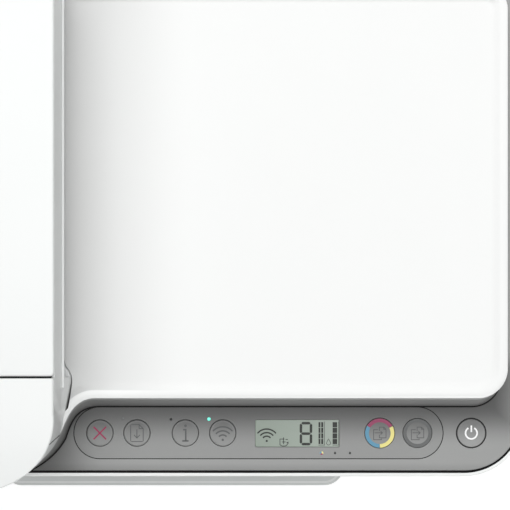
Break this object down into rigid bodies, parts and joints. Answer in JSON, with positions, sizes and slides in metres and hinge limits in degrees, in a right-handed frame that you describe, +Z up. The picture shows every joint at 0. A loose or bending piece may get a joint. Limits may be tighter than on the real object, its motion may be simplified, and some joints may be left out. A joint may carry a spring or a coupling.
{
  "type": "inkjet printer",
  "caption": "All-in-one inkjet printer with a flat-bed scanner, a document feeder on its lid, a front control strip and paper trays.",
  "frame": {"origin": "on the ground under the middle of the whole printer, trays included", "axes": "+X to the printer's right seen from its front, +Y to its rear, +Z up"},
  "size_m": [0.428, 0.332, 0.2],
  "materials": {
    "white_shell": "satin moulded white",
    "deck_grey": "satin grey",
    "face_grey": "pale grey",
    "button_grey": "pale grey",
    "lcd": "reflective segment display",
    "clear_glass": "clear",
    "pad_white": "white foil on foam",
    "tray_grey": "satin pale grey",
    "dark_plastic": "dark moulded",
    "black_plastic": "black",
    "rubber": "matt black",
    "steel": "bright",
    "nylon": "natural",
    "circuit_board": "green mask"
  },
  "bodies": {
    "root": {"base_housing": "white_shell", "bottom_plate": "dark_plastic", "foot_front_left": "rubber", "foot_front_right": "rubber", "foot_rear_left": "rubber", "foot_rear_right": "rubber", "scanner_base": "deck_grey", "scan_glass": "clear_glass", "panel_face": "face_grey", "display": "lcd", "lid_hinge_left": "dark_plastic", "lid_hinge_right": "dark_plastic", "power_inlet": "black_plastic", "data_port": "steel", "scan_rod": "steel", "chassis_frame": "steel", "carriage_rod": "steel", "carriage_belt": "rubber", "carriage_motor": "steel", "feed_motor": "steel", "platen": "dark_plastic", "paper_ramp": "dark_plastic", "service_station": "dark_plastic", "main_board": "circuit_board", "power_supply": "black_plastic"},
    "lid": {"lid_shell": "white_shell", "lid_pad": "pad_white", "adf_housing": "white_shell", "adf_separator_pad": "dark_plastic"},
    "feeder_cover": {"adf_cover": "white_shell"},
    "adf_pick": {"adf_pick_roller": "rubber"},
    "adf_drive": {"adf_drive_roller": "rubber"},
    "cancel": {"button_cancel": "button_grey"},
    "resume": {"button_resume": "button_grey"},
    "info": {"button_info": "button_grey"},
    "wireless": {"button_wireless": "button_grey"},
    "colour_copy": {"button_colour_copy": "button_grey"},
    "mono_copy": {"button_mono_copy": "button_grey"},
    "power": {"button_power": "button_grey"},
    "door": {"front_door": "tray_grey"},
    "tray": {"output_tray": "tray_grey"},
    "extender": {"tray_extender": "tray_grey"},
    "rear_tray": {"input_tray": "white_shell"},
    "rear_extension": {"input_extension": "tray_grey"},
    "guide_left": {"paper_guide_left": "tray_grey"},
    "guide_right": {"paper_guide_right": "tray_grey"},
    "scan_head": {"scan_bar": "dark_plastic"},
    "print_carriage": {"carriage": "dark_plastic", "cartridge_black": "black_plastic", "cartridge_colour": "black_plastic"},
    "pulley_left": {"motor_pulley": "nylon"},
    "pulley_right": {"idler_pulley": "nylon"},
    "feed": {"feed_roller": "rubber", "feed_gear": "nylon"},
    "pinion": {"motor_pinion": "nylon"},
    "idler": {"idler_gear": "nylon"},
    "output": {"output_roller": "rubber", "output_gear": "nylon"},
    "pick": {"pick_roller": "rubber"},
    "pinch": {"pinch_roller": "steel"}
  },
  "joints": [
    {"name": "lid_open", "type": "hinge", "parent": "root", "child": "lid", "pos_m": [0, 0.147, 0.16], "axis": [-1, 0, 0], "range_deg": [0, 65]},
    {"name": "feeder_cover_open", "type": "hinge", "parent": "lid", "child": "feeder_cover", "pos_m": [-0.2045, 0, 0.198], "axis": [0, -1, 0], "range_deg": [0, 100]},
    {"name": "adf_pick_turn", "type": "hinge", "parent": "lid", "child": "adf_pick", "pos_m": [-0.095, 0, 0.181], "axis": [0, 1, 0], "continuous": true},
    {"name": "adf_drive_turn", "type": "hinge", "parent": "lid", "child": "adf_drive", "pos_m": [-0.136, 0, 0.166], "axis": [0, 1, 0], "continuous": true},
    {"name": "cancel_press", "type": "slide", "parent": "root", "child": "cancel", "axis": [0, 0, -1], "range_m": [0, 0.0008], "stiffness_N_per_m": 400},
    {"name": "resume_press", "type": "slide", "parent": "root", "child": "resume", "axis": [0, 0, -1], "range_m": [0, 0.0008], "stiffness_N_per_m": 400},
    {"name": "info_press", "type": "slide", "parent": "root", "child": "info", "axis": [0, 0, -1], "range_m": [0, 0.0008], "stiffness_N_per_m": 400},
    {"name": "wireless_press", "type": "slide", "parent": "root", "child": "wireless", "axis": [0, 0, -1], "range_m": [0, 0.0008], "stiffness_N_per_m": 400},
    {"name": "colour_copy_press", "type": "slide", "parent": "root", "child": "colour_copy", "axis": [0, 0, -1], "range_m": [0, 0.0008], "stiffness_N_per_m": 400},
    {"name": "mono_copy_press", "type": "slide", "parent": "root", "child": "mono_copy", "axis": [0, 0, -1], "range_m": [0, 0.0008], "stiffness_N_per_m": 400},
    {"name": "power_press", "type": "slide", "parent": "root", "child": "power", "axis": [0, 0, -1], "range_m": [0, 0.0008], "stiffness_N_per_m": 400},
    {"name": "front_door_open", "type": "hinge", "parent": "root", "child": "door", "pos_m": [0, -0.1445, 0.0895], "axis": [1, 0, 0], "range_deg": [0, 88]},
    {"name": "output_tray_slide", "type": "slide", "parent": "root", "child": "tray", "axis": [0, -1, 0], "range_m": [0, 0.07]},
    {"name": "tray_extender_slide", "type": "slide", "parent": "tray", "child": "extender", "axis": [0, -1, 0], "range_m": [0, 0.08]},
    {"name": "rear_tray_tilt", "type": "hinge", "parent": "root", "child": "rear_tray", "pos_m": [0, 0.1636, 0.0605], "axis": [-1, 0, 0], "range_deg": [0, 30]},
    {"name": "rear_extension_slide", "type": "slide", "parent": "rear_tray", "child": "rear_extension", "axis": [0, 0, 1], "range_m": [0, 0.065]},
    {"name": "paper_guide_left_slide", "type": "slide", "parent": "rear_tray", "child": "guide_left", "axis": [1, 0, 0], "range_m": [0, 0.056]},
    {"name": "paper_guide_right_slide", "type": "slide", "parent": "rear_tray", "child": "guide_right", "axis": [1, 0, 0], "range_m": [-0.056, 0]},
    {"name": "scan_head_slide", "type": "slide", "parent": "root", "child": "scan_head", "axis": [1, 0, 0], "range_m": [0, 0.295]},
    {"name": "carriage_slide", "type": "slide", "parent": "root", "child": "print_carriage", "axis": [-1, 0, 0], "range_m": [0, 0.275]},
    {"name": "motor_pulley_turn", "type": "hinge", "parent": "root", "child": "pulley_left", "pos_m": [-0.18, 0, 0.106], "axis": [0, 1, 0], "range_deg": [-2700, 2700]},
    {"name": "idler_pulley_turn", "type": "hinge", "parent": "root", "child": "pulley_right", "pos_m": [0.18, 0, 0.106], "axis": [0, 1, 0], "range_deg": [-2700, 2700]},
    {"name": "feed_turn", "type": "hinge", "parent": "root", "child": "feed", "pos_m": [0, 0.018, 0.058], "axis": [1, 0, 0], "continuous": true},
    {"name": "pinion_turn", "type": "hinge", "parent": "root", "child": "pinion", "pos_m": [-0.2, 0.009, 0.07359], "axis": [1, 0, 0], "continuous": true},
    {"name": "idler_turn", "type": "hinge", "parent": "root", "child": "idler", "pos_m": [-0.2, -0.006, 0.058], "axis": [1, 0, 0], "continuous": true},
    {"name": "output_turn", "type": "hinge", "parent": "root", "child": "output", "pos_m": [0, -0.03, 0.058], "axis": [1, 0, 0], "continuous": true},
    {"name": "pinch_turn", "type": "hinge", "parent": "root", "child": "pinch", "pos_m": [0, 0.018, 0.0688], "axis": [1, 0, 0], "continuous": true},
    {"name": "pick_turn", "type": "hinge", "parent": "root", "child": "pick", "pos_m": [0, 0.132, 0.0755], "axis": [1, 0, 0], "continuous": true}
  ],
  "couplings": [
    {"joint": "paper_guide_right_slide", "follows": "paper_guide_left_slide", "ratio": -1},
    {"joint": "motor_pulley_turn", "follows": "carriage_slide", "rad_per_m": -158.73},
    {"joint": "idler_pulley_turn", "follows": "carriage_slide", "rad_per_m": -158.73},
    {"joint": "pinion_turn", "follows": "feed_turn", "ratio": -2},
    {"joint": "idler_turn", "follows": "feed_turn", "ratio": -1},
    {"joint": "output_turn", "follows": "feed_turn", "ratio": 1},
    {"joint": "pinch_turn", "follows": "feed_turn", "ratio": -1.625}
  ]
}
